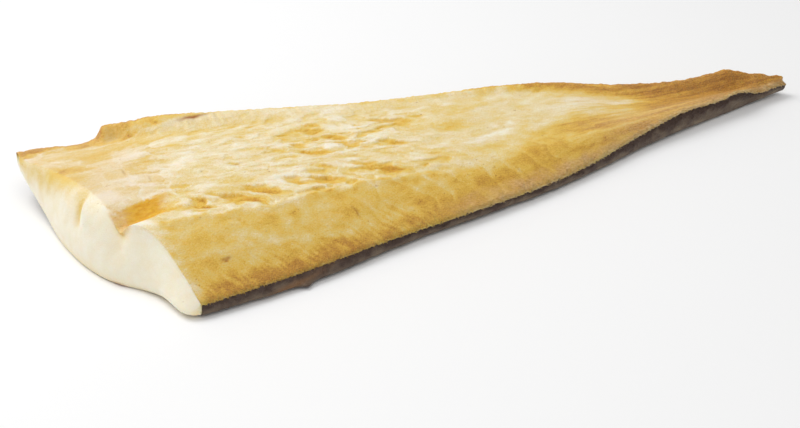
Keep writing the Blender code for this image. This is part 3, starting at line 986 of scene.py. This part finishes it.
class Value:
    """A node socket whose arithmetic adds Math nodes."""

    def __init__(self, nodes, socket):
        self.nodes = nodes
        self.socket = socket

    def maths(self, operation, other):
        sockets = {0: self, 1: other}
        return self.nodes.node("ShaderNodeMath", {"operation": operation}, sockets)

    def __add__(self, other):
        return self.maths("ADD", other)

    def __sub__(self, other):
        return self.maths("SUBTRACT", other)

    def __mul__(self, other):
        return self.maths("MULTIPLY", other)

    def __rsub__(self, other):
        return (self * -1).maths("ADD", other)

    __radd__ = __add__
    __rmul__ = __mul__

    def also(self, output):
        """Another output of the same node."""
        return Value(self.nodes, self.socket.node.outputs[output])

    def clamp(self):
        """The number, kept from 0 to 1."""
        return self.maths("MAXIMUM", 0.0).maths("MINIMUM", 1.0)


class Tree:
    """Builds a tree of nodes."""

    def __init__(self, tree):
        self.tree = tree

    def node(self, kind, settings, sockets, output=0):
        """Adds a node with its settings and its sockets' values or links, and gives one output."""
        made = self.tree.nodes.new(kind)
        stops = settings.pop("stops", None)
        for key, value in settings.items():
            setattr(made, key, value)
        if stops:
            self.set_stops(made.color_ramp.elements, stops)
        for key, value in sockets.items():
            self.feed(made.inputs[key], value)
        return Value(self, made.outputs[output]) if made.outputs else None

    def set_stops(self, elements, stops):
        """Sets a ramp's places and colours."""
        for index, (at, colour) in enumerate(stops):
            stop = elements[index] if index < 2 else elements.new(at)
            stop.position = at
            stop.color = linear(colour)

    def feed(self, socket, value):
        """Links a socket to a value's node, or sets its number."""
        if isinstance(value, Value):
            self.tree.links.new(value.socket, socket)
        else:
            socket.default_value = value


class Nodes(Tree):
    """Builds one material's nodes."""

    def __init__(self, name):
        self.material = bpy.data.materials.new(name)
        self.material.use_nodes = True
        super().__init__(self.material.node_tree)
        self.shader = self.tree.nodes["Principled BSDF"]
        self.place = self.node("ShaderNodeTexCoord", {}, {}, "Object")

    def attribute(self, name):
        """A number that the mesh holds for each point."""
        return self.node("ShaderNodeAttribute", {"attribute_name": name}, {}, "Fac")

    def stretched(self, scale, turn=0.0):
        """Object coordinates, scaled along each axis and turned about Z."""
        sockets = {"Vector": self.place, "Scale": scale, "Rotation": (0, 0, turn)}
        return self.node("ShaderNodeMapping", {}, sockets)

    def noise(self, vector, scale, detail):
        sockets = {"Vector": vector, "Scale": scale, "Detail": detail, "Roughness": 0.55}
        return self.node("ShaderNodeTexNoise", {}, sockets)

    def ramp(self, factor, stops):
        return self.node("ShaderNodeValToRGB", {"stops": stops}, {"Fac": factor}, "Color")

    def mix(self, factor, first, second):
        return self.node("ShaderNodeMix", {"data_type": "RGBA"}, {0: factor, 6: first, 7: second}, 2)

    def bump(self, height, distance, under=None):
        """A relief over the whole surface, of a distance in metres, on top of another one."""
        sockets = {"Height": height, "Distance": distance}
        if under:
            sockets["Normal"] = under
        return self.node("ShaderNodeBump", {}, sockets)

    def finish(self, sockets):
        """Sets the shader's sockets and gives the material."""
        for key, value in sockets.items():
            self.feed(self.shader.inputs[key], value)
        return self.material


def linear(colour):
    """A colour of three numbers from 0 to 255, as linear light with full opacity."""
    share = np.asarray(colour, float) / 255
    bright = ((share + 0.055) / 1.055) ** 2.4
    return (*np.where(share <= 0.04045, share / 12.92, bright).tolist(), 1.0)


def flesh_material():
    """Smoked flesh: white where it is cut, cream on the flakes, golden, then amber at the edges."""
    n = Nodes("smoked_flesh")
    along = n.stretched((1, 2.2, 2))
    mottle = n.noise(along, scale=130, detail=4) - 0.5
    grain = n.noise(n.stretched((1, 4.5, 3), turn=0.06), scale=520, detail=3) - 0.5
    speckle = n.noise(n.place, scale=1500, detail=2) - 0.5
    uncut = 1 - n.attribute("cut") * CUT_CLEAN
    fine = mottle * MOTTLE + grain * GRAIN + speckle * SPECKLE
    colour = n.ramp((n.attribute("smoke_and_painted_light") + fine * uncut).clamp(), SMOKE_TONES)
    fibres = n.noise(n.stretched((1, 2.5, 2), turn=0.6), scale=520, detail=3)
    tan = n.ramp(fibres, TAN_TONES)
    colour = n.mix((n.attribute("tan") * (fibres + 0.5)).clamp(), colour, tan)
    # Orange in the hollows, under the flakes' lips and in the furrow, partly painted shade
    orange = n.ramp(n.noise(along, scale=300, detail=3), ORANGE_SHADE_TONES)
    recess_shade = n.attribute("recess_shade")
    colour = n.mix((recess_shade + mottle * recess_shade).clamp(), colour, orange)
    specks = n.noise(n.stretched((1, 1.7, 1.7)), scale=330, detail=1) - SPECK_FROM
    specks = (specks * SPECK_SHARP).clamp() * SPECK_STRENGTH * uncut
    cracks = n.attribute("crack") * CRACK_STRENGTH
    colour = n.mix((cracks + specks).clamp(), colour, linear(CRACK_TONE))
    grooves = n.noise(n.stretched((1, 2.4, 2.4), turn=0.05), scale=800, detail=4)
    lumps = n.noise(along, scale=160, detail=4)
    normal = n.bump(lumps * uncut, 0.0006, n.bump(grooves * uncut, 0.0005))
    return n.finish({
        "Base Color": colour,
        "Roughness": n.noise(along, scale=200, detail=2) * 0.3 + 0.32,
        "Normal": normal,
        "Specular IOR Level": 0.35,
        "Subsurface Weight": 0.6,
        "Subsurface Scale": 0.0025,
        "Subsurface Radius": (1.0, 0.75, 0.5),
    })


def skin_material():
    """Dark skin: brown grey, mottled and wrinkled, darkest along its ragged upper edge, partly painted
    shade.
    """
    n = Nodes("dark_skin")
    cloud = n.noise(n.stretched((1, 1, 1.6)), scale=110, detail=5)
    height = n.attribute("height")
    # Darker towards the upper edge under the flesh's rim: partly painted shade, partly the edge's own
    # darker brown
    colour = n.ramp(cloud - height * height * height * 0.4, SKIN_TONES)
    colour = n.mix((n.attribute("patch") * 0.7).clamp(), colour, linear(SKIN_PATCH_TONE))
    grain = n.noise(n.place, scale=900, detail=3)
    wrinkles = n.noise(n.stretched((1, 1, 3)), scale=220, detail=4)
    normal = n.bump(wrinkles, 0.0015, n.bump(grain, 0.0004))
    return n.finish({"Base Color": colour, "Roughness": cloud * 0.3 + 0.28, "Normal": normal})


def floor_material():
    """Plain and pale."""
    n = Nodes("pale_floor")
    return n.finish({"Base Color": linear(FLOOR_TONE), "Roughness": 0.7})


# Shreds

def shreds_tree():
    """Geometry nodes that strew small shreds over a surface and lay each of them along a direction."""
    tree = bpy.data.node_groups.new("shreds", "GeometryNodeTree")
    for name, kind in SHRED_INPUTS.items():
        tree.interface.new_socket(name=name, in_out="INPUT", socket_type="NodeSocket" + kind)
    tree.interface.new_socket(name="Shreds", in_out="OUTPUT", socket_type="NodeSocketGeometry")
    n = Tree(tree)
    given = {name: n.node("NodeGroupInput", {}, {}, name) for name in SHRED_INPUTS}
    where = n.node("GeometryNodeInputNamedAttribute", {"data_type": "FLOAT"}, {"Name": given["Where"]})
    points = n.node("GeometryNodeDistributePointsOnFaces", {"distribute_method": "POISSON"}, {
        "Mesh": given["Surface"], "Distance Min": given["Spacing"], "Density Max": given["Most"],
        "Density Factor": where, "Seed": given["Seed"],
    })
    laid = n.node("FunctionNodeAxesToRotation", {"primary_axis": "Z", "secondary_axis": "X"}, {
        "Primary Axis": points.also("Normal"), "Secondary Axis": given["Along"],
    })
    back = n.node("ShaderNodeVectorMath", {"operation": "SCALE"}, {0: given["Turn"], "Scale": -1.0})
    turn = n.node("FunctionNodeRandomValue", {"data_type": "FLOAT_VECTOR"}, {
        0: back, 1: given["Turn"], "Seed": given["Seed"],
    })
    turned = n.node("FunctionNodeRotateRotation", {"rotation_space": "LOCAL"}, {
        "Rotation": laid, "Rotate By": turn,
    })
    size = n.node("FunctionNodeRandomValue", {"data_type": "FLOAT_VECTOR"}, {
        0: SMALLEST_SHRED, 1: (1.0, 1.0, 1.0), "Seed": given["Seed"] + 1,
    })
    ball = n.node("GeometryNodeMeshUVSphere", {}, {
        "Segments": given["Sides"], "Rings": SHRED_RINGS, "Radius": 0.5,
    })
    shred = n.node("GeometryNodeTransform", {}, {"Geometry": ball, "Scale": given["Size"]})
    strewn = n.node("GeometryNodeInstanceOnPoints", {}, {
        "Points": points, "Instance": shred, "Rotation": turned, "Scale": size,
    })
    real = n.node("GeometryNodeRealizeInstances", {}, {"Geometry": strewn})
    noise = n.node("ShaderNodeTexNoise", {}, {"Scale": SHRED_NOISE, "Detail": 1.0}, "Color")
    middle = n.node("ShaderNodeVectorMath", {"operation": "SUBTRACT"}, {0: noise, 1: (0.5, 0.5, 0.5)})
    bent = n.node("ShaderNodeVectorMath", {"operation": "SCALE"}, {0: middle, "Scale": given["Bend"]})
    shaped = n.node("GeometryNodeSetPosition", {}, {"Geometry": real, "Offset": bent})
    finished = n.node("GeometryNodeSetMaterial", {}, {"Geometry": shaped, "Material": given["Finish"]})
    n.node("NodeGroupOutput", {}, {"Shreds": finished})
    return tree


def strew(name, tree, surface, material, **inputs):
    """Shreds strewn over a piece's surface, as a plain mesh of their own."""
    carrier = add_object(name + "_carrier", surface.data)
    modifier = carrier.modifiers.new("shreds", "NODES")
    modifier.node_group = tree
    for socket in tree.interface.items_tree:
        if socket.name in inputs:
            modifier[socket.identifier] = inputs[socket.name]
        elif socket.name == "Finish":
            modifier[socket.identifier] = material
    grown = carrier.evaluated_get(bpy.context.evaluated_depsgraph_get())
    mesh = bpy.data.meshes.new_from_object(grown)
    bpy.data.objects.remove(carrier)
    low, high = np.array(FRAME_BOX)
    for vertex in mesh.vertices:
        vertex.co = np.clip(vertex.co, low, high)
    smooth(mesh)
    return add_object(name, mesh)


# Studio

def make_floor():
    """A large pale floor."""
    corners = [(x * FLOOR_HALF, y * FLOOR_HALF, 0) for x, y in ((-1, -1), (1, -1), (1, 1), (-1, 1))]
    mesh = bpy.data.meshes.new("floor")
    mesh.from_pydata(corners, [], [(0, 1, 2, 3)])
    mesh.materials.append(floor_material())
    add_object("floor", mesh)


def view_axes(turn, down):
    """Right, up and backward directions of a viewer, turned about Z and looking down."""
    a, e = np.radians(turn), np.radians(down)
    back = Vector((np.sin(a) * np.cos(e), -np.cos(a) * np.cos(e), np.sin(e)))
    right = Vector((np.cos(a), np.sin(a), 0))
    return right, back.cross(right), back


def stand(name, data, turn, down, far, at):
    """Puts a camera or lamp so that it looks at a point of the fillet."""
    right, up, back = view_axes(turn, down)
    target = Vector(place(at))
    made = add_object(name, data)
    turned = Matrix((right, up, back)).transposed().to_4x4()
    made.matrix_world = Matrix.Translation(target + back * far * MM) @ turned
    return made


def make_studio():
    """The room's light, the lamps, the floor and the camera."""
    scene = bpy.context.scene
    scene.view_settings.view_transform = "Standard"
    world = bpy.data.worlds.new("studio")
    world.use_nodes = True
    background = world.node_tree.nodes["Background"]
    background.inputs["Color"].default_value = (1, 1, 1, 1)
    background.inputs["Strength"].default_value = ROOM_LIGHT
    scene.world = world
    for name, turn, down, far, size, watts in LAMPS:
        lamp = bpy.data.lights.new(name, "AREA")
        lamp.shape = "DISK"
        lamp.size = size
        lamp.energy = watts
        stand(name, lamp, turn, down, far, (0, 0, 0))
    make_floor()
    camera = bpy.data.cameras.new("camera")
    camera.lens = LENS
    camera.sensor_width = SENSOR
    scene.camera = stand("camera", camera, VIEW_ROUND, VIEW_DOWN, VIEW_FAR, VIEW_AT)


def main():
    """Makes the studio and the four pieces, hides the model's flesh and skin, and hangs each piece on
    the root.
    """
    make_studio()
    smoked, dark = flesh_material(), skin_material()
    flesh = make_flesh(smoked)
    skin = make_skin(dark)
    tree = shreds_tree()
    fringe = strew("flesh_fringe", tree, flesh, smoked, **FLESH_SHREDS)
    tufts = strew("skin_fringe", tree, skin, dark, **SKIN_SHREDS)
    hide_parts("flesh")
    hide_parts("skin")
    for slot, pieces in (("smoked_flesh", (flesh, fringe)), ("dark_skin", (skin, tufts))):
        for piece in pieces:
            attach(piece, "root")


main()
